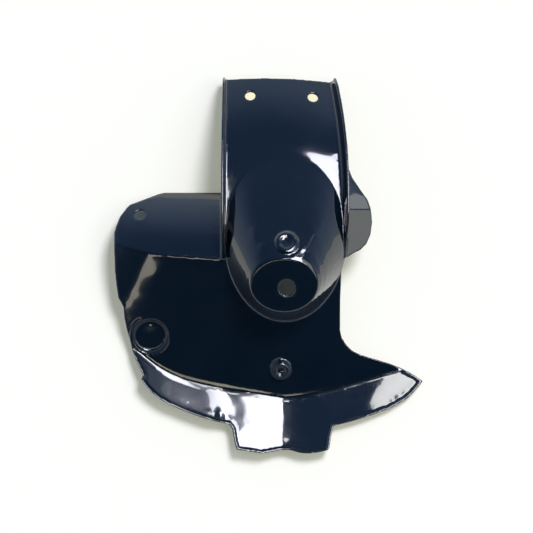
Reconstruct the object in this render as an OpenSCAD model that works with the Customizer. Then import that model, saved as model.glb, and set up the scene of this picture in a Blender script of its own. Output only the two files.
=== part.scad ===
// Shock mud flap: a one-piece moulded splash guard, lying on its back edge as it comes to rest.
// X runs across the channel, Y runs up the channel to its bolted end, Z is up from the surface.
// The plan origin is the middle of the flat pad on the hump; the part is moved at the end so that
// its own origin is the middle of its plan box, on the surface it lies on.

/* [Shell] */
// Wall thickness of the moulded sheet
wall = 2.4; // [2:0.1:3]
// Thickness of the upstanding flanges along the channel
flange_wall = 2.1; // [1.8:0.1:2.6]

/* [Channel] */
// Radius of the arch that the channel floor follows
arch_r = 160; // [150:1:175]
// Height of the channel floor at the top of the arch
arch_top = 40; // [38:0.5:43]
// Distance up the channel from the pad to the top of the arch
arch_y = 60; // [56:1:64]
// Slope of the channel floor at its bolted end, in degrees
end_angle = 36.2; // [34:0.2:38]
// Height of the flanges over the floor
flange_h = 8.5; // [6:0.5:11]
// Radius of the floor's crown across the bolted end
crown_r = 230; // [200:5:300]
// Sideways place of the crown line
crown_x = -15; // [-20:1:-8]

/* [Deck] */
// Slope of the flat deck, in degrees
deck_angle = 17.2; // [16:0.2:18]
// Radius of the deck's crown
deck_crown_r = 800; // [700:10:1200]
// Upward tilt of the folded rim along the bottom, in degrees
rim_angle = 10; // [8:0.5:20]
// Upward tilt of the rim to the left of the tab, where it stands steeper
rim_left = 17; // [10:0.5:20]

/* [Hump] */
// Height of the pad over the deck
hump_h = 28.5; // [24:0.5:32]
// Half length of the hump's footprint, along the channel
hump_len = 62.2; // [58:0.2:64]
// Half width of the hump's footprint
hump_wid = 45.6; // [43:0.2:46]
// Half width of the flat pad
pad_wid = 24.8; // [22:0.2:27]
// Half length of the flat pad
pad_len = 19.6; // [17:0.2:22]

/* [Holes] */
// Diameter of the two bolt holes at the channel's end
bolt_d = 7.7; // [6.5:0.1:8.5]
// Distance between the two bolt holes
bolt_gap = 47; // [44:0.5:50]
// Diameter of the hole in the hump's pad
pad_hole_d = 12.4; // [10:0.2:14]
// Diameter of the hole in the side wing
wing_hole_d = 8.2; // [7:0.2:9]

/* [Hidden] */

// Plan places, read from straight above, in millimetres from the middle of the pad
bend_x = -0.7;
tail_y = -84.7;
tail_z = 2.6;
plan_shift = [12.3, -14.8, -0.74];
// Small turn that sets the wing's edge, the crease and the horn's tip on the surface together
lie_turn = [-0.1, 0.23, 0];
// Overall plan size of the moulding
plan_size = [231.3, 282.2];

// Crease between the deck and the folded rim
crease = [[-132, -30], [-114, -46], [-101, -58], [-86, -67.5], [-64, -74.2], [-34, -79], [-8, -83],
    [bend_x, tail_y], [19, -81.7], [49, -74.2], [75, -66], [108, -54]];
// Ridge where the deck turns down into the side wing
ridge = [[-132, 33], [-119, 28.5], [-105, 24.8], [-90, 22.4], [-45, 19.5]];

function sq(v) = v * v;
function mix(a, b, t) = a + (b - a) * t;
function unit(v) = v / norm(v);
function clamp01(t) = min(1, max(0, t));
function ease(t) = let (c = clamp01(t)) c * c * (3 - 2 * c);

// The deck rolls down past a slanting line near its outer corner
roll_line = [-86, 26];
roll_way = [-0.883, 0.47];
roll_r = 100;
function roll_drop(x, y) = sq(max(0, ([x, y] - roll_line) * roll_way)) / (2 * roll_r);
// Height of the deck's upper face
function deck_z(x, y) =
    tail_z + (y - tail_y) * tan(deck_angle) - sq(x - crown_x) / (2 * deck_crown_r) - roll_drop(x, y);

// The crease and the ridge bend gently: each is the mean of its line over a short way to both sides
function soft(x, line, way) = (2 * lookup(x, line) + 2 * lookup(x - way, line) + 2 * lookup(x + way, line)
    + lookup(x - way / 2, line) + lookup(x + way / 2, line)) / 8;
function crease_y(x) = soft(x, crease, clamp01(abs(x - bend_x) / 20) * 7 + 3.5);
function ridge_y(x) = soft(x, ridge, 6);

// Crown radius of the channel floor, which opens out from the bolted end to the deck
function floor_crown(a) = mix(deck_crown_r, crown_r, ease((a + deck_angle) / (end_angle + deck_angle)));
function floor_h(x, a) = -sq(x - crown_x) / (2 * floor_crown(a));
// A point of the channel: x across, h over the arch, a degrees along the arch from its top
function on_arch(x, h, a) = [x, arch_y + (arch_r + h) * sin(a), arch_top - arch_r + (arch_r + h) * cos(a)];
function arch_angle(y) = asin((y - arch_y) / arch_r);
function floor_z(x, y) = let (a = arch_angle(y)) on_arch(x, floor_h(x, a), a)[2];

// A shell: rows of points are its upper face, and its wall goes down along the surface normals
module sheet(rows, t) {
    nr = len(rows);
    nc = len(rows[0]);
    function at(i, j) = rows[min(nr - 1, max(0, i))][min(nc - 1, max(0, j))];
    function normal(i, j) = unit(cross(at(i, j + 1) - at(i, j - 1), at(i + 1, j) - at(i - 1, j)));
    top = [for (i = [0:nr - 1], j = [0:nc - 1]) at(i, j)];
    low = [for (i = [0:nr - 1], j = [0:nc - 1]) at(i, j) - t * normal(i, j)];
    n = nr * nc;
    faces = concat(
        [for (i = [0:nr - 2], j = [0:nc - 2]) each [
            [i * nc + j, (i + 1) * nc + j, (i + 1) * nc + j + 1],
            [i * nc + j, (i + 1) * nc + j + 1, i * nc + j + 1]]],
        [for (i = [0:nr - 2], j = [0:nc - 2]) each [
            [n + i * nc + j, n + (i + 1) * nc + j + 1, n + (i + 1) * nc + j],
            [n + i * nc + j, n + i * nc + j + 1, n + (i + 1) * nc + j + 1]]],
        [for (j = [0:nc - 2]) each [
            [j, j + 1, n + j + 1],
            [j, n + j + 1, n + j]]],
        [for (j = [0:nc - 2]) let (b = (nr - 1) * nc) each [
            [b + j, n + b + j + 1, b + j + 1],
            [b + j, n + b + j, n + b + j + 1]]],
        [for (i = [0:nr - 2]) each [
            [i * nc, n + (i + 1) * nc, (i + 1) * nc],
            [i * nc, n + i * nc, n + (i + 1) * nc]]],
        [for (i = [0:nr - 2]) let (e = nc - 1) each [
            [i * nc + e, (i + 1) * nc + e, n + (i + 1) * nc + e],
            [i * nc + e, n + (i + 1) * nc + e, n + i * nc + e]]]);
    polyhedron(concat(top, low), faces, convexity = 8);
}

// A loft through closed rings of points, closed at both ends
module loft(rings) {
    nr = len(rings);
    nc = len(rings[0]);
    pts = [for (r = rings) each r];
    faces = concat(
        [[for (j = [0:nc - 1]) j]],
        [[for (j = [nc - 1:-1:0]) (nr - 1) * nc + j]],
        [for (i = [0:nr - 2], j = [0:nc - 1]) let (k = (j + 1) % nc) each [
            [i * nc + j, (i + 1) * nc + k, i * nc + k],
            [i * nc + j, (i + 1) * nc + j, (i + 1) * nc + k]]]);
    polyhedron(pts, faces, convexity = 8);
}

// Plan outline of the deck, the side wing and the folded rim
module plan_outline() {
    polygon([[-46, 69], [-90.7, 69], [-95.2, 67.9], [-101.2, 65.6], [-116.2, 60], [-118.5, 57.8],
        [-123.7, 51], [-126.7, 43.5], [-128, 39], [-128, 26.2], [-127.5, 11.2], [-126.4, 0],
        [-124.9, -9.7], [-122.6, -13.5], [-121.1, -16.5], [-120.4, -24.7], [-118.5, -33.7],
        [-114, -50.2], [-111, -57.7], [-107.6, -64.5], [-106.5, -66.7], [-107.8, -70.5],
        [-104.2, -75.4], [-99.7, -80.2], [-93.7, -85.1], [-87.7, -88.5], [-75, -94.1],
        [-63.7, -98.2], [-52.5, -101.6], [-42, -103.9], [-39.7, -107.2], [-38.2, -116.2],
        [-36.4, -122.6], [-28.5, -123.7], [-17.2, -125.6], [-11.2, -124.5], [-3.7, -123],
        [3.7, -123], [11.2, -125.2], [18.7, -125.6], [26.2, -124.5], [32.2, -123], [33.4, -120.7],
        [34.5, -112.5], [36.7, -105], [48.7, -102], [63.7, -97.5], [78.7, -91.9], [86.2, -87.7],
        [92.2, -84], [96.7, -79.5], [100.5, -75], [103.3, -71.6], [97.5, -67.5], [92.2, -64.5],
        [86.2, -61.5], [78.7, -58.5], [71.2, -56.2], [63.7, -54], [56.2, -51.7], [50.2, -48.7],
        [45.7, -44.2], [42.4, -39], [41.2, -33.7], [41.2, -11.2], [42, 9.7], [42.7, 15], [43.6, 20.8],
        [-46, 20.8]]);
}

// Deck and folded rim: columns run across, rows run from the rim to the ridge
function rim_tilt(x) = x > 0 ? mix(rim_angle, 6, ease((x - 55) / 45)) : mix(rim_angle, rim_left, ease((-44 - x) / 14));
function rim_point(x, d) = let (y = crease_y(x)) [x, y - d, deck_z(x, y) + d * tan(rim_tilt(x))];
deck_columns = concat([-131], [for (x = [-125.7:4.8:-10]) x], [-5.2, -2.2, 0.8, 3.8],
    [for (x = [8.6:4.8:102]) x], [106]);
function deck_top(x) = x < -45 ? ridge_y(x) : mix(21, 26, clamp01((x + 45) / 90));
deck_rows = [
    [for (x = deck_columns) rim_point(x, 46)],
    [for (x = deck_columns) rim_point(x, 24)],
    [for (x = deck_columns) rim_point(x, 3)],
    [for (x = deck_columns) let (y = crease_y(x)) [x, y + 0.4, deck_z(x, y) + 0.4]],
    for (k = [0.04, 0.26, 0.51, 0.77, 1])
        [for (x = deck_columns) let (y = mix(crease_y(x), deck_top(x), k)) [x, y, deck_z(x, y)]]];

module deck() {
    sheet(deck_rows, wall);
}

// Side wing: an arc that turns down from the ridge to the surface
wing_from = 13;
wing_to = 52;
wing_y = 72;
function wing_point(x, k) =
    let (y0 = ridge_y(x), r = (wing_y - y0) / (sin(wing_to) - sin(wing_from)),
        a = mix(wing_from, wing_to, k))
    [x, y0 + r * (sin(a) - sin(wing_from)), deck_z(x, y0) - r * (cos(wing_from) - cos(a))];
wing_columns = [-131, -124, -117, -110, -103, -96, -88, -80, -72, -64, -56, -50, -45.5];
wing_rows = [
    [for (x = wing_columns) wing_point(x, 0) + [0, -2, -0.5]],
    for (k = [0.02:0.098:1]) [for (x = wing_columns) wing_point(x, k)]];

module wing() {
    sheet(wing_rows, wall);
}

// Channel: floor and flanges, lofted along the arch
arch_from = arch_angle(19.5);
function up(a) = clamp01((on_arch(0, 0, a)[1] - arch_y) / 91);
function left_out(a) = -48.2 + 1.3 * sq(up(a));
function right_root(a) = 43 - 8.5 * sq(up(a));
function right_out(a) = 48 - 8.6 * pow(up(a), 2.3);
// The flanges start low by the ridge, and their corners at the bolted end are rounded off
function left_h(a) = mix(3, flange_h, ease((a - arch_from) / 9)) - 5.5 * sq(clamp01(1 - (end_angle - a) / 3.5));
function right_h(a) = mix(1, flange_h, ease((a - arch_from) / 13)) - 3 * sq(clamp01(1 - (end_angle - a) / 3.5));
floor_steps = 10;
function channel_ring(a) =
    let (lo = left_out(a), li = lo + flange_wall, rr = right_root(a), ro = right_out(a),
        hl = floor_h(li, a), hr = floor_h(rr, a), lh = left_h(a), rh = right_h(a),
        lean = (ro - rr - flange_wall) * rh / flange_h)
    [for (p = concat(
        [[lo, hl - wall], [lo, hl + lh - 0.6], [lo + 0.6, hl + lh], [li - 0.5, hl + lh], [li, hl + lh - 0.5],
            [li + 0.2, hl + 1.8], [li + 1.6, hl + 0.3]],
        [for (i = [1:floor_steps - 1]) let (x = mix(li, rr, i / floor_steps)) [x, floor_h(x, a)]],
        [[rr - 1.4, hr + 0.4], [rr + 0.4, hr + 1.7], [rr + lean, hr + rh - 0.5],
            [rr + lean + 0.6, hr + rh], [rr + lean + flange_wall - 0.6, hr + rh],
            [rr + lean + flange_wall, hr + rh - 0.6], [rr + flange_wall + 0.3, hr - wall * 0.6],
            [rr + flange_wall - 0.6, hr - wall]],
        [for (i = [floor_steps - 1:-1:1]) let (x = mix(li, rr, i / floor_steps))
            [x, floor_h(x, a) - wall]])) on_arch(p[0], p[1], a)];
arch_steps = 20;

module channel() {
    loft([for (i = [0:arch_steps]) channel_ring(mix(arch_from, end_angle - 3, i / arch_steps)),
        for (s = [2, 1, 0.4, 0]) channel_ring(end_angle - s)]);
}

// Hump: a flat oval pad high over an oval footprint. A straight ramp runs up to it from the channel,
// and its other sides fall away ever more steeply.
hump_y = 35.3;
pad_x = -1;
hump_steps = 72;
hump_levels = [1.025, 0.85, 0.65, 0.42, 0.2, 0.06, 0];
function footprint_z(x, y) = y > 18 ? floor_z(x, y) : deck_z(x, y);
function pad_z(y) = deck_z(0, 0) + hump_h / cos(deck_angle) + y * tan(deck_angle);
function foot_point(w) = let (x = hump_wid * cos(w), y = hump_y + hump_len * sin(w)) [x, y, footprint_z(x, y)];
// The pad's edge on the way from its middle to a foot point, moved out by so much
function pad_point(w, out) = let (f = foot_point(w), a = atan2(f[1], f[0] - pad_x),
        r = pad_wid * pad_len / norm([pad_len * cos(a), pad_wid * sin(a)]) + out)
    [pad_x + r * cos(a), r * sin(a), pad_z(r * sin(a))];
// 1 is a straight side, and more falls away steeper towards the foot
function side_bend(w) = 1 + 0.3 * clamp01((65 - (w < 90 ? w : 180 - w)) / 35);
function hump_ring(u) = [for (j = [0:hump_steps - 1]) let (w = 360 * j / hump_steps - 90,
    f = foot_point(w), p = pad_point(w, 0), q = mix(p, f, u)) [q[0], q[1], mix(p[2], f[2], pow(u, side_bend(w)))]];
hump_rings = concat([for (u = hump_levels) hump_ring(u)],
    [[for (j = [0:hump_steps - 1]) pad_point(360 * j / hump_steps - 90, -1.3)]]);
function hump_at(i, j) = hump_rings[min(len(hump_rings) - 1, max(0, i))][(j + hump_steps) % hump_steps];
function hump_normal(i, j) =
    unit(cross(hump_at(i, j + 1) - hump_at(i, j - 1), hump_at(i + 1, j) - hump_at(i - 1, j)));
hump_inner = [for (i = [0:len(hump_rings) - 1])
    [for (j = [0:hump_steps - 1]) hump_at(i, j) - wall * hump_normal(i, j)]];
function lower_ring(r, d) = [for (p = r) [p[0], p[1], p[2] - d]];

module hump_outside() {
    loft(concat([lower_ring(hump_rings[0], 0.9)], hump_rings));
}

module hump_inside() {
    loft(concat([lower_ring(hump_inner[0], 16)], hump_inner));
}

// Collar with a dished middle, high on the ramp
ramp_top = pad_point(90, 0);
ramp_foot = foot_point(90);
ramp_angle = atan((ramp_top[2] - ramp_foot[2]) / (ramp_foot[1] - ramp_top[1]));

module collar() {
    y = 31.5;
    translate([0.8, y, ramp_top[2] - (y - ramp_top[1]) * tan(ramp_angle)])
        rotate([-ramp_angle, 0, 0])
            rotate_extrude($fn = 40)
                polygon([[0, -1.4], [9, -1.4], [8.7, 0.5], [7.6, 1.1], [6.2, 1.4], [5.2, 1.2], [4.4, 0.7], [0, 0.2]]);
}

// Ear: a short wing on the other side of the channel
ear_rows = [for (r = [[15, 0, 0], [22, 0.2, 0], [40, 1.2, 0], [56, 1.8, 0], [66, -3, 1], [77, -9, 2], [90, -17.5, 3]])
    [for (x = [42.5, 48, 54, 60, 67]) [x, r[0], deck_z(48, 18) + r[1] - (x - 46) * tan(13) - r[2] * 0.2]]];

module ear() {
    intersection() {
        sheet(ear_rows, wall);
        translate([0, 0, -20])
            linear_extrude(100)
                polygon([[40, 17], [45.7, 20.2], [50.2, 23.2], [56.2, 26.2], [60.7, 30.7], [63.7, 37.5],
                    [65, 47.2], [63.7, 57.7], [61.5, 63.7], [56.2, 71.2], [50.2, 80.2], [48, 86.2],
                    [44, 86.2], [44, 60], [40, 40]]);
    }
}

// Side walls that join the channel to the wing on one side and to the ear on the other
function wing_z(x, y) =
    let (y0 = ridge_y(x), r = (wing_y - y0) / (sin(wing_to) - sin(wing_from)),
        a = asin(min(0.99, (y - y0) / r + sin(wing_from))))
    deck_z(x, y0) - r * (cos(wing_from) - cos(a));
function ear_z(y) = lookup(y, [for (r = ear_rows) [r[0][1], r[1][2]]]);

module left_side() {
    ys = [for (y = [20:4:68]) y];
    translate([-47.95, 0, 0])
        rotate([90, 0, 90])
            linear_extrude(flange_wall)
                polygon(concat([for (y = ys) [y, floor_z(-47, y) - 0.5]],
                    [for (i = [len(ys) - 1:-1:0]) [ys[i], wing_z(-48, ys[i]) - 1.6]]));
}

module right_side() {
    ys = [for (y = [52:4:88]) y];
    translate([44, 0, 0])
        rotate([90, 0, 90])
            linear_extrude(flange_wall)
                polygon(concat([for (y = ys) [y, floor_z(44, y) - 0.8]],
                    [for (i = [len(ys) - 1:-1:0]) [ys[i], min(floor_z(44, ys[i]) - 1.2, ear_z(ys[i]) - 1)]]));
}

// Places a feature square to the deck, the pad or the channel floor
module on_deck(x, y) {
    translate([x, y, deck_z(x, y)])
        rotate([deck_angle, 0, 0])
            children();
}

module on_channel(x, a) {
    translate(on_arch(x, floor_h(x, a), a))
        rotate([-a, 0, 0])
            rotate([0, (x - crown_x) / crown_r * 180 / PI, 0])
                children();
}

bolt_a = 30.8;
bolt_x = -2.7;
wing_hole = [-109, 0.53];
function wing_normal(x, k) = unit(cross(wing_point(x + 1, k) - wing_point(x - 1, k),
    wing_point(x, k + 0.02) - wing_point(x, k - 0.02)));

// Turns what stands along Z to stand along n
module square_to(n) {
    rotate([0, acos(n[2]), atan2(n[1], n[0])])
        children();
}

// Stud with a dished end
module stud() {
    on_deck(-3.1, -62.4)
        rotate_extrude($fn = 48)
            polygon([[0, -1], [8, -1], [7.4, 0.4], [6.6, 1.2], [6.4, 4.2], [5.7, 5], [4, 5.2], [3.2, 4], [0, 3.6]]);
}

// Round dish near the deck's corner: its cup hangs under the deck
dish_at = [-100.9, -38.2];
dish_depth = 2.8;

module dish_cup() {
    on_deck(dish_at[0], dish_at[1])
        rotate_extrude($fn = 48)
            polygon([[0, -dish_depth - wall], [11.5, -dish_depth - wall], [14.4, -wall - 0.6],
                [15.6, -0.9], [15.6, -0.6], [0, -0.6]]);
}

module dish_hollow() {
    on_deck(dish_at[0], dish_at[1])
        rotate_extrude($fn = 48)
            polygon([[0, -dish_depth + 0.5], [8, -dish_depth], [11.4, -dish_depth], [13, -1.4], [13.9, 2],
                [0, 2]]);
}

// Bead along the edge of the folded rim and its tab
bead_w = 1.9;
bead_h = 0.9;
module rim_bead() {
    intersection() {
        translate([0, 0, bead_h])
            sheet([for (i = [0:2]) deck_rows[i]], wall);
        translate([0, 0, -20])
            linear_extrude(100)
                difference() {
                    plan_outline();
                    offset(delta = -bead_w)
                        plan_outline();
                }
    }
}

// Everything but the holes
module skin() {
    difference() {
        union() {
            intersection() {
                union() {
                    deck();
                    wing();
                }
                translate([0, 0, -20])
                    linear_extrude(100)
                        plan_outline();
            }
            channel();
            ear();
            left_side();
            right_side();
            hump_outside();
            collar();
            stud();
            dish_cup();
            rim_bead();
        }
        hump_inside();
        dish_hollow();
    }
}

// Moves the part from the drawing's own origin to the way it rests
module laid_down() {
    translate(plan_shift)
        rotate(lie_turn)
            children();
}

module flap() {
    color([0.05, 0.07, 0.1])
        difference() {
            resize([plan_size[0], plan_size[1], 0])
                laid_down()
                    skin();
            laid_down() {
                for (s = [-1, 1])
                    on_channel(bolt_x + s * bolt_gap / 2, bolt_a)
                        cylinder(h = 20, d = bolt_d, center = true, $fn = 48);
                translate([0.8, -1.9, pad_z(-1.9)])
                    rotate([deck_angle, 0, 0])
                        cylinder(h = 20, d = pad_hole_d, center = true, $fn = 48);
                translate(wing_point(wing_hole[0], wing_hole[1]))
                    square_to(wing_normal(wing_hole[0], wing_hole[1]))
                        cylinder(h = 20, d = wing_hole_d, center = true, $fn = 48);
            }
        }
}

flap();
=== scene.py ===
# Shock mud flap: glossy black moulding on a white surface, seen from straight above.
import bpy
import math
import numpy as np
from mathutils import Matrix, Vector


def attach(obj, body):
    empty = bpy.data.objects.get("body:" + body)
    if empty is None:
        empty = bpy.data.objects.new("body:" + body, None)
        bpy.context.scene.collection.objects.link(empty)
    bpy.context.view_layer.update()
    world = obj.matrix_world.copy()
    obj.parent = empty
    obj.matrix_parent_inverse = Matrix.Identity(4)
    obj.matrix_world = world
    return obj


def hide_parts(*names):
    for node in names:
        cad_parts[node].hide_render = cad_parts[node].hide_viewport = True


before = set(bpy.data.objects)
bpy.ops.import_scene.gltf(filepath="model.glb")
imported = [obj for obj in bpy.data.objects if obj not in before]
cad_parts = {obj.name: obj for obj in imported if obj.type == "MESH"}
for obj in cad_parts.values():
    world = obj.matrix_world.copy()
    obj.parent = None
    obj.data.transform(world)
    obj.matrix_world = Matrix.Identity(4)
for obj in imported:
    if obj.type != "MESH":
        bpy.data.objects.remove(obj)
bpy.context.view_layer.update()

# The skin: its cells in metres, its limit of triangles, and the rounds that smooth edges and broad faces
SKIN_CELL = 0.00055
SAME_POINT = 0.00001
SKIN_TRIANGLES = 190000
EDGE_ROUNDS = 6
FAIR_ROUNDS = 220
# A fold turns by more degrees than this between neighbours, and so many rows of points about it are kept
FOLD_TURN = 2.8
FOLD_ROWS = 4
RIM_FOLD_TURN = 5.5
RIM_FOLD_ROWS = 8
# The rim lies beyond a slanting line along its crease, with a strip before that line, in metres
RIM_WAY = (-0.35, -1.0, 0.0)
RIM_FROM = 0.104
CREASE_STRIP = 0.004
# The plastic's colour, and how rough its gloss is where it is clean and where it is hazy
DARK_TINT = (0.0010, 0.0040, 0.0070, 1)
LIGHT_TINT = (0.0030, 0.0065, 0.0115, 1)
CLEAN_ROUGHNESS = 0.05
HAZY_ROUGHNESS = 0.14
# The left part of the rim is scuffed: where the scuffs begin and are full, and how wide their edge is
SCUFFS_BEGIN = -0.035
SCUFFS_FULL = -0.045
SCUFFS_EDGE = 0.002
SCUFFED_ROUGHNESS = 0.17

# Lamps and camera stand far off, so that a reflection depends on slope almost alone
PANEL_DISTANCE = 6.0
CAMERA_HEIGHT = 6.0
VIEW_WIDTH = 0.4
VIEW_CENTRE = (-0.0016, -0.0009)
SENSOR_WIDTH = 36.0
KEY_RADIANCE = 12
KEY_COLOUR = (1.0, 1.0, 1.12)
DAYLIGHT_COLOUR = (1.03, 1.0, 1.2)
WINDOW_COLOUR = (1.0, 0.95, 0.78)
SILL_COLOUR = (1.0, 0.93, 0.72)
WALL_COLOUR = (1.0, 1.0, 0.93)
BLUE_SKY_COLOUR = (0.85, 0.95, 1.0)
# Sky colours by height, from near the horizon to overhead
SKY_STEPS = (
    (0.05, (0.48, 0.57, 0.68, 1)),
    (0.45, (0.23, 0.30, 0.44, 1)),
    (0.70, (0.045, 0.075, 0.14, 1)),
    (0.83, (0.012, 0.040, 0.085, 1)),
)
FAR_SKY_TINT = (0.05, 0.095, 0.20)

FLOOR_SIZE = 30.0
FLOOR_COLOUR = (0.8, 0.8, 0.68, 1)
FLOOR_LIFT = 0.25
FLOOR_LIFT_COLOUR = (1.0, 0.95, 0.65, 1)
# Painted spots on the surface where it shows through a hole: middle and reach in metres, and share of the
# lift.
# A share of 0 paints shade under the hump and the wing's hole, and 3.6 paints light under the bolt holes;
# each spot fades out between its reach and so many times its reach
PAINTED_SPOT_FADE = 1.4
PAINTED_SPOTS_UNDER_HOLES = (
    ((0.013, -0.016, 0), 0.022, 0.0),
    ((-0.0965, 0.0374, 0), 0.0065, 0.0),
    ((-0.0138, 0.1264, 0), 0.005, 3.6),
    ((0.033, 0.1252, 0), 0.005, 3.6),
)


def deselect():
    if bpy.context.mode != "OBJECT":
        bpy.ops.object.mode_set(mode="OBJECT")
    bpy.ops.object.select_all(action="DESELECT")


def apply_modifier(obj, kind, name, **values):
    mod = obj.modifiers.new(name, kind)
    for key, value in values.items():
        setattr(mod, key, value)
    deselect()
    obj.select_set(True)
    bpy.context.view_layer.objects.active = obj
    bpy.ops.object.modifier_apply(modifier=mod.name)


def add_node(tree, kind, place, **values):
    """A shader node, with values for its settings or, where it has no such setting, for its sockets."""
    node = tree.nodes.new(kind)
    node.location = place
    for key, value in values.items():
        if hasattr(node, key):
            setattr(node, key, value)
        else:
            node.inputs[key].default_value = value
    return node


def broad_face_points(mesh):
    """Numbers of the points that are on broad faces, away from every edge and fold."""
    ends = np.empty(len(mesh.edges) * 2, dtype=np.int32)
    mesh.edges.foreach_get("vertices", ends)
    ends = ends.reshape(-1, 2)
    normals = np.empty(len(mesh.vertices) * 3, dtype=np.float32)
    mesh.vertices.foreach_get("normal", normals)
    normals = normals.reshape(-1, 3)
    places = np.empty(len(mesh.vertices) * 3, dtype=np.float32)
    mesh.vertices.foreach_get("co", places)
    beyond = places.reshape(-1, 3) @ np.array(RIM_WAY, dtype=np.float32)
    turn_limit = np.where(beyond[ends[:, 0]] > RIM_FROM, RIM_FOLD_TURN, FOLD_TURN)
    alike = np.einsum("ij,ij->i", normals[ends[:, 0]], normals[ends[:, 1]])
    near = np.zeros(len(mesh.vertices), dtype=bool)
    near[ends[alike < np.cos(np.radians(turn_limit))].ravel()] = True
    for row in range(RIM_FOLD_ROWS):
        grown = ends[near[ends].any(axis=1)].ravel()
        if row >= FOLD_ROWS:
            grown = grown[beyond[grown] > RIM_FROM - CREASE_STRIP]
        near[grown] = True
    return np.nonzero(~near)[0].tolist()


def moulded_skin():
    """One closed skin over the solid, with the small radii that a mould leaves on every edge."""
    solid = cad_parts["flap"]
    deselect()
    solid.select_set(True)
    bpy.context.view_layer.objects.active = solid
    bpy.ops.object.duplicate()
    skin = bpy.context.view_layer.objects.active
    skin.name = "moulded_flap"
    skin.data.name = "moulded_flap"
    skin.data.materials.clear()
    bpy.ops.object.mode_set(mode="EDIT")
    bpy.ops.mesh.select_all(action="SELECT")
    bpy.ops.mesh.remove_doubles(threshold=SAME_POINT)
    bpy.ops.object.mode_set(mode="OBJECT")
    apply_modifier(skin, "REMESH", "fine skin", mode="VOXEL", voxel_size=SKIN_CELL, adaptivity=0.0)
    apply_modifier(skin, "SMOOTH", "moulded radii", factor=0.5, iterations=EDGE_ROUNDS)
    fair = skin.vertex_groups.new(name="fair faces")
    fair.add(broad_face_points(skin.data), 1.0, "REPLACE")
    apply_modifier(
        skin, "SMOOTH", "fair curves", factor=0.5, iterations=FAIR_ROUNDS, vertex_group="fair faces")
    skin.vertex_groups.clear()
    triangles = len(skin.data.polygons) * 2
    share = min(1.0, SKIN_TRIANGLES / triangles)
    apply_modifier(skin, "DECIMATE", "lighter skin", decimate_type="COLLAPSE", ratio=share)
    deselect()
    skin.select_set(True)
    bpy.context.view_layer.objects.active = skin
    bpy.ops.object.shade_smooth()
    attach(skin, "root")
    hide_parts("flap")
    return skin


def gloss_black():
    """Bluish black gloss plastic, slightly wavy, with faint flow marks and scuffs on the rim's left part."""
    mat = bpy.data.materials.new("gloss_black_plastic")
    mat.use_nodes = True
    tree = mat.node_tree
    tree.nodes.clear()
    out = add_node(tree, "ShaderNodeOutputMaterial", (900, 0))
    shader = add_node(tree, "ShaderNodeBsdfPrincipled", (600, 0))
    shader.inputs["IOR"].default_value = 1.52
    shader.inputs["Coat Weight"].default_value = 1.0
    shader.inputs["Coat Roughness"].default_value = 0.03
    shader.inputs["Coat IOR"].default_value = 1.5
    coords = add_node(tree, "ShaderNodeTexCoord", (-1200, 0))
    cloud = add_node(tree, "ShaderNodeTexNoise", (-900, 300), Scale=22.0, Detail=3.0)
    tint = add_node(tree, "ShaderNodeValToRGB", (-600, 300))
    tint.color_ramp.elements[0].position = 0.3
    tint.color_ramp.elements[0].color = DARK_TINT
    tint.color_ramp.elements[1].position = 0.75
    tint.color_ramp.elements[1].color = LIGHT_TINT
    tree.links.new(coords.outputs["Object"], cloud.inputs["Vector"])
    tree.links.new(cloud.outputs["Fac"], tint.inputs["Fac"])
    tree.links.new(tint.outputs["Color"], shader.inputs["Base Color"])
    haze = add_node(tree, "ShaderNodeTexNoise", (-900, 0), Scale=60.0, Detail=5.0)
    rough = add_node(tree, "ShaderNodeMapRange", (-600, 0))
    rough.inputs["To Min"].default_value = CLEAN_ROUGHNESS
    rough.inputs["To Max"].default_value = HAZY_ROUGHNESS
    tree.links.new(coords.outputs["Object"], haze.inputs["Vector"])
    tree.links.new(haze.outputs["Fac"], rough.inputs["Value"])
    # Fine scuffs dull the left part of the rim, beyond the slanting line of the crease
    below = add_node(tree, "ShaderNodeVectorMath", (-900, -600), operation="DOT_PRODUCT")
    below.inputs[1].default_value = RIM_WAY
    scuffed = add_node(tree, "ShaderNodeMapRange", (-600, -600))
    scuffed.inputs["From Min"].default_value = RIM_FROM - SCUFFS_EDGE
    scuffed.inputs["From Max"].default_value = RIM_FROM + SCUFFS_EDGE
    across = add_node(tree, "ShaderNodeSeparateXYZ", (-900, -800))
    left = add_node(tree, "ShaderNodeMapRange", (-600, -800))
    left.inputs["From Min"].default_value = SCUFFS_BEGIN
    left.inputs["From Max"].default_value = SCUFFS_FULL
    both = add_node(tree, "ShaderNodeMath", (-400, -700), operation="MULTIPLY")
    dull = add_node(tree, "ShaderNodeMix", (-200, -100))
    dull.inputs["B"].default_value = SCUFFED_ROUGHNESS
    tree.links.new(coords.outputs["Object"], below.inputs[0])
    tree.links.new(coords.outputs["Object"], across.inputs["Vector"])
    tree.links.new(below.outputs["Value"], scuffed.inputs["Value"])
    tree.links.new(across.outputs["X"], left.inputs["Value"])
    tree.links.new(scuffed.outputs["Result"], both.inputs[0])
    tree.links.new(left.outputs["Result"], both.inputs[1])
    tree.links.new(both.outputs["Value"], dull.inputs["Factor"])
    tree.links.new(rough.outputs["Result"], dull.inputs["A"])
    tree.links.new(dull.outputs["Result"], shader.inputs["Roughness"])
    swell = add_node(tree, "ShaderNodeTexNoise", (-900, -300), Scale=28.0, Detail=1.5)
    bump = add_node(tree, "ShaderNodeBump", (-300, -300), Strength=0.25, Distance=0.0016)
    tree.links.new(coords.outputs["Object"], swell.inputs["Vector"])
    tree.links.new(swell.outputs["Fac"], bump.inputs["Height"])
    tree.links.new(bump.outputs["Normal"], shader.inputs["Normal"])
    tree.links.new(bump.outputs["Normal"], shader.inputs["Coat Normal"])
    tree.links.new(shader.outputs["BSDF"], out.inputs["Surface"])
    return mat


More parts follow.
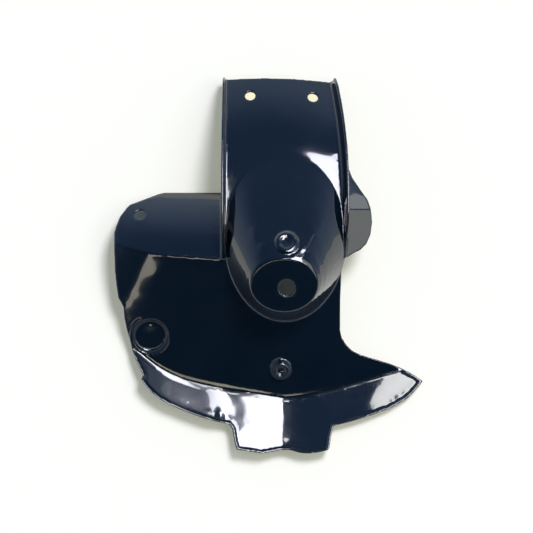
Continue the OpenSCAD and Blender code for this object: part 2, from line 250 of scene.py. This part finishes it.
def white_floor():
    """White surface that stays white to the camera and keeps the part's shadow, with painted shade and
    painted light in spots under the holes.
    """
    deselect()
    bpy.ops.mesh.primitive_plane_add(size=FLOOR_SIZE, location=(0, 0, 0))
    floor = bpy.context.view_layer.objects.active
    floor.name = "studio_floor"
    mat = bpy.data.materials.new("studio_white_with_painted_spots")
    mat.use_nodes = True
    tree = mat.node_tree
    tree.nodes.clear()
    out = add_node(tree, "ShaderNodeOutputMaterial", (600, 0))
    diffuse = add_node(tree, "ShaderNodeBsdfDiffuse", (0, 100))
    diffuse.inputs["Color"].default_value = FLOOR_COLOUR
    lift = add_node(tree, "ShaderNodeEmission", (0, -100))
    lift.inputs["Color"].default_value = FLOOR_LIFT_COLOUR
    path = add_node(tree, "ShaderNodeLightPath", (-400, -100))
    share = add_node(tree, "ShaderNodeMath", (-200, -100), operation="MULTIPLY")
    # Painted shade darkens the surface under the hump and under the wing's hole, and painted light brightens
    # it under the bolt holes
    coords = add_node(tree, "ShaderNodeTexCoord", (-1000, -300))
    lift_with_painted_spots = None
    for row, (place, reach, part) in enumerate(PAINTED_SPOTS_UNDER_HOLES):
        away = add_node(tree, "ShaderNodeVectorMath", (-800, -300 - 200 * row), operation="DISTANCE")
        away.inputs[1].default_value = place
        clear = add_node(tree, "ShaderNodeMapRange", (-600, -300 - 200 * row))
        clear.inputs["From Min"].default_value = reach
        clear.inputs["From Max"].default_value = reach * PAINTED_SPOT_FADE
        clear.inputs["To Min"].default_value = part
        clear.inputs["To Max"].default_value = 1.0
        tree.links.new(coords.outputs["Object"], away.inputs[0])
        tree.links.new(away.outputs["Value"], clear.inputs["Value"])
        level = add_node(tree, "ShaderNodeMath", (-400, -300 - 200 * row), operation="MULTIPLY")
        tree.links.new(clear.outputs["Result"], level.inputs[0])
        if lift_with_painted_spots:
            tree.links.new(lift_with_painted_spots, level.inputs[1])
        else:
            level.inputs[1].default_value = FLOOR_LIFT
        lift_with_painted_spots = level.outputs["Value"]
    tree.links.new(lift_with_painted_spots, share.inputs[1])
    seen = add_node(tree, "ShaderNodeMath", (-400, 100), operation="MAXIMUM")
    tree.links.new(path.outputs["Is Camera Ray"], seen.inputs[0])
    tree.links.new(path.outputs["Is Glossy Ray"], seen.inputs[1])
    shown = add_node(tree, "ShaderNodeMath", (-200, 100), operation="MAXIMUM")
    tree.links.new(seen.outputs["Value"], shown.inputs[0])
    tree.links.new(path.outputs["Is Transmission Ray"], shown.inputs[1])
    tree.links.new(shown.outputs["Value"], share.inputs[0])
    tree.links.new(share.outputs["Value"], lift.inputs["Strength"])
    total = add_node(tree, "ShaderNodeAddShader", (300, 0))
    tree.links.new(diffuse.outputs["BSDF"], total.inputs[0])
    tree.links.new(lift.outputs["Emission"], total.inputs[1])
    tree.links.new(total.outputs["Shader"], out.inputs["Surface"])
    floor.data.materials.append(mat)


def panel(name, right, up, size, radiance, colour=(1, 1, 1), turn=0, diffuse=True):
    """A soft panel in the sky: right and up are degrees away from straight overhead."""
    way = Vector((math.tan(math.radians(right)), math.tan(math.radians(up)), 1.0)).normalized()
    data = bpy.data.lights.new(name, "AREA")
    data.shape = "RECTANGLE"
    data.size = 2 * PANEL_DISTANCE * math.tan(math.radians(size[0] / 2))
    data.size_y = 2 * PANEL_DISTANCE * math.tan(math.radians(size[1] / 2))
    data.energy = radiance * math.pi * data.size * data.size_y
    data.color = colour
    lamp = bpy.data.objects.new(name, data)
    bpy.context.collection.objects.link(lamp)
    lamp.location = way * PANEL_DISTANCE
    side = Vector((1, 0, 0))
    depth = way.cross(side).normalized()
    side = depth.cross(way).normalized()
    facing = Matrix((side, depth, way)).transposed().to_4x4()
    facing.translation = lamp.location
    lamp.matrix_world = facing @ Matrix.Rotation(math.radians(turn), 4, "Z")
    lamp.visible_diffuse = diffuse


def daylight(right, up, irradiance, spread):
    """The light that gives the shadows. The key panels give the reflections in its place."""
    data = bpy.data.lights.new("daylight", "SUN")
    data.energy = irradiance
    data.angle = math.radians(spread)
    data.color = DAYLIGHT_COLOUR
    lamp = bpy.data.objects.new("daylight", data)
    bpy.context.collection.objects.link(lamp)
    way = Vector((math.tan(math.radians(right)), math.tan(math.radians(up)), 1.0))
    lamp.rotation_mode = "QUATERNION"
    lamp.rotation_quaternion = way.to_track_quat("Z", "Y")
    lamp.visible_glossy = False


def sky():
    world = bpy.data.worlds.new("studio_sky")
    bpy.context.scene.world = world
    world.use_nodes = True
    tree = world.node_tree
    tree.nodes.clear()
    out = add_node(tree, "ShaderNodeOutputWorld", (900, 0))
    back = add_node(tree, "ShaderNodeBackground", (600, 0))
    coords = add_node(tree, "ShaderNodeTexCoord", (-600, 0))
    split = add_node(tree, "ShaderNodeSeparateXYZ", (-400, 0))
    ramp = add_node(tree, "ShaderNodeValToRGB", (-200, 0))
    stops = ramp.color_ramp.elements
    stops[0].position = SKY_STEPS[0][0]
    stops[0].color = SKY_STEPS[0][1]
    stops[1].position = SKY_STEPS[-1][0]
    stops[1].color = SKY_STEPS[-1][1]
    for height, colour in SKY_STEPS[1:-1]:
        stops.new(height).color = colour
    # The far half of the sky, beyond the channel's end, is a little brighter and bluer
    far = add_node(tree, "ShaderNodeMapRange", (-200, -300))
    far.inputs["From Min"].default_value = -0.1
    far.inputs["From Max"].default_value = 0.3
    tint = add_node(tree, "ShaderNodeVectorMath", (200, -100), operation="MULTIPLY_ADD")
    tint.inputs[1].default_value = FAR_SKY_TINT
    tree.links.new(coords.outputs["Generated"], split.inputs["Vector"])
    tree.links.new(split.outputs["Z"], ramp.inputs["Fac"])
    tree.links.new(split.outputs["Y"], far.inputs["Value"])
    tree.links.new(far.outputs["Result"], tint.inputs[0])
    tree.links.new(ramp.outputs["Color"], tint.inputs[2])
    tree.links.new(tint.outputs["Vector"], back.inputs["Color"])
    back.inputs["Strength"].default_value = 1.0
    tree.links.new(back.outputs["Background"], out.inputs["Surface"])


def studio_lamps():
    """Key panels give the white reflections, daylight the shadows, and the rest warm, grey and blue ones."""
    panel("key panel", right=15.5, up=24, size=(15, 14), radiance=KEY_RADIANCE, colour=KEY_COLOUR, turn=-6,
          diffuse=False)
    panel("key panel, near end", right=14.5, up=8, size=(18, 20), radiance=KEY_RADIANCE, colour=KEY_COLOUR,
          turn=-3, diffuse=False)
    panel("key panel, left end", right=1.5, up=10.5, size=(5, 12), radiance=9, diffuse=False)
    daylight(right=22, up=34, irradiance=2.6, spread=20)
    panel("warm window", right=-22, up=-30.2, size=(10, 4), radiance=2.3, colour=WINDOW_COLOUR)
    panel("warm sill", right=-5, up=-27, size=(14, 3.5), radiance=3, colour=SILL_COLOUR)
    panel("dim right wall", right=38, up=-2, size=(28, 34), radiance=1.6, colour=WALL_COLOUR)
    panel("dim far right wall", right=35, up=56, size=(7, 9), radiance=1.9, colour=WALL_COLOUR)
    panel("blue sky light", right=31, up=36.2, size=(23, 4), radiance=0.45, colour=BLUE_SKY_COLOUR)
    panel("blue sky light, lower part", right=27.5, up=30.5, size=(8, 7), radiance=1.0,
          colour=BLUE_SKY_COLOUR)


def overhead_camera():
    data = bpy.data.cameras.new("camera")
    data.sensor_width = SENSOR_WIDTH
    data.lens = data.sensor_width * CAMERA_HEIGHT / VIEW_WIDTH
    camera = bpy.data.objects.new("camera", data)
    bpy.context.collection.objects.link(camera)
    camera.location = (*VIEW_CENTRE, CAMERA_HEIGHT)
    camera.rotation_euler = (0, 0, 0)
    bpy.context.scene.camera = camera


overhead_camera()
flap = moulded_skin()
flap.data.materials.append(gloss_black())
white_floor()
studio_lamps()
sky()
bpy.context.scene.view_settings.view_transform = "Standard"
